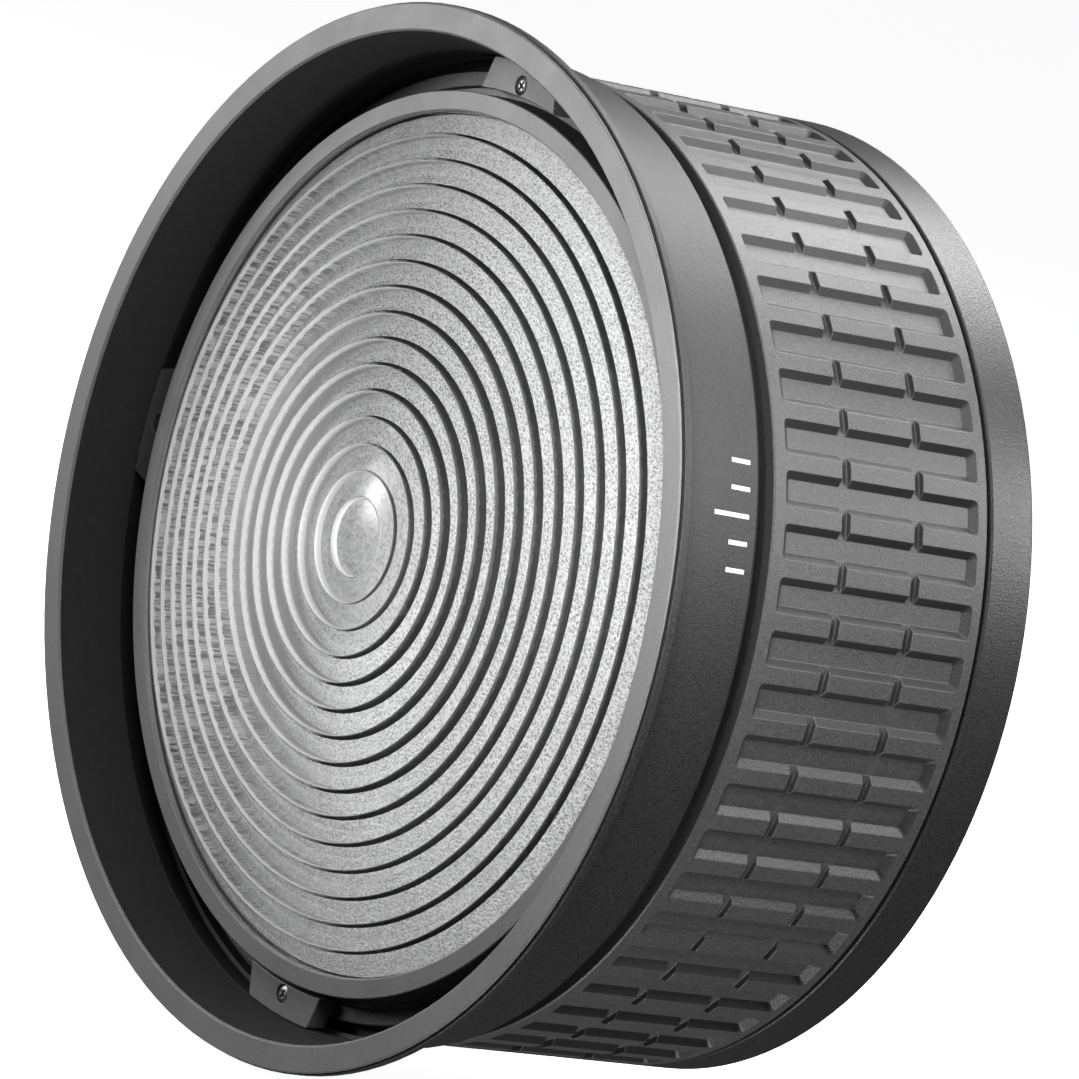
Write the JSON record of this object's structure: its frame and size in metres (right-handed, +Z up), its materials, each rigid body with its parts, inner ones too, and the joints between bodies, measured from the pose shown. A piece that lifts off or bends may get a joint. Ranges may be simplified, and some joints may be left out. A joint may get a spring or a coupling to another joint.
{
  "type": "fresnel spotlight lens unit",
  "caption": "Round fresnel lens spotlight head with a ribbed focus ring that slides the stepped glass lens along a guide barrel, and a bayonet mount behind.",
  "frame": {"origin": "centre of the bayonet seating face, on the optical axis", "axes": "+Y along the optical axis from the lens towards the lamp, so the light leaves towards -Y; +Z up through one stop tab"},
  "size_m": [0.308, 0.16, 0.308],
  "materials": {
    "front_ring": "fine sandblasted grey finish",
    "front_housing": "fine sandblasted dark grey finish",
    "index_marks": "white enamel fill",
    "stop_tabs": "satin grey finish",
    "screws": "zinc plated steel",
    "black_screws": "black oxide steel",
    "guide_barrel": "black anodised",
    "glide": "natural PTFE",
    "stop_pin": "ground steel",
    "rear_ring": "fine sandblasted dark grey finish",
    "rear_cover": "fine sandblasted dark grey finish",
    "baffle": "heat-resistant matt black",
    "rivets": "plain aluminium",
    "mount_ring": "turned and satin anodised",
    "focus_grip": "fine sandblasted dark grey finish",
    "focus_sleeve": "black anodised",
    "fresnel_lens": "pressed glass, stippled",
    "lens_frame": "satin grey finish",
    "gasket": "black silicone",
    "lens_retaining_ring": "black anodised",
    "carriage_glides": "natural PTFE",
    "follower_studs": "turned steel",
    "bushings": "acetal"
  },
  "bodies": {
    "housing": {"front_ring": "front_ring", "front_housing": "front_housing", "index_marks": "index_marks", "stop_tabs": "stop_tabs", "tab_screws": "screws", "guide_barrel": "guide_barrel", "front_glide_ring": "glide", "rear_glide_ring": "glide", "stop_pin": "stop_pin", "rear_ring": "rear_ring", "rear_ring_set_screws": "black_screws", "rear_cover": "rear_cover", "cover_screws": "black_screws", "vent_baffle": "baffle", "vent_baffle_rivets": "rivets", "entry_baffle": "baffle", "entry_baffle_rivets": "rivets", "mount_flange": "mount_ring", "bayonet_spigot": "mount_ring", "mount_screws": "screws"},
    "focus_ring": {"focus_grip": "focus_grip", "focus_sleeve": "focus_sleeve", "grip_screws": "black_screws"},
    "lens_carriage": {"fresnel_lens": "fresnel_lens", "lens_frame": "lens_frame", "lens_gasket": "gasket", "lens_retaining_ring": "lens_retaining_ring", "carriage_glides": "carriage_glides", "follower_studs": "follower_studs", "guide_bushings": "bushings", "cam_bushings": "bushings"}
  },
  "joints": [
    {"name": "focus_turn", "type": "hinge", "parent": "housing", "child": "focus_ring", "pos_m": [0, -0.067, 0], "axis": [0, 1, 0], "range_deg": [0, 115]},
    {"name": "lens_travel", "type": "slide", "parent": "housing", "child": "lens_carriage", "axis": [0, 1, 0], "range_m": [0, 0.0643]}
  ],
  "couplings": [
    {"joint": "lens_travel", "follows": "focus_turn", "m_per_rad": 0.032}
  ]
}
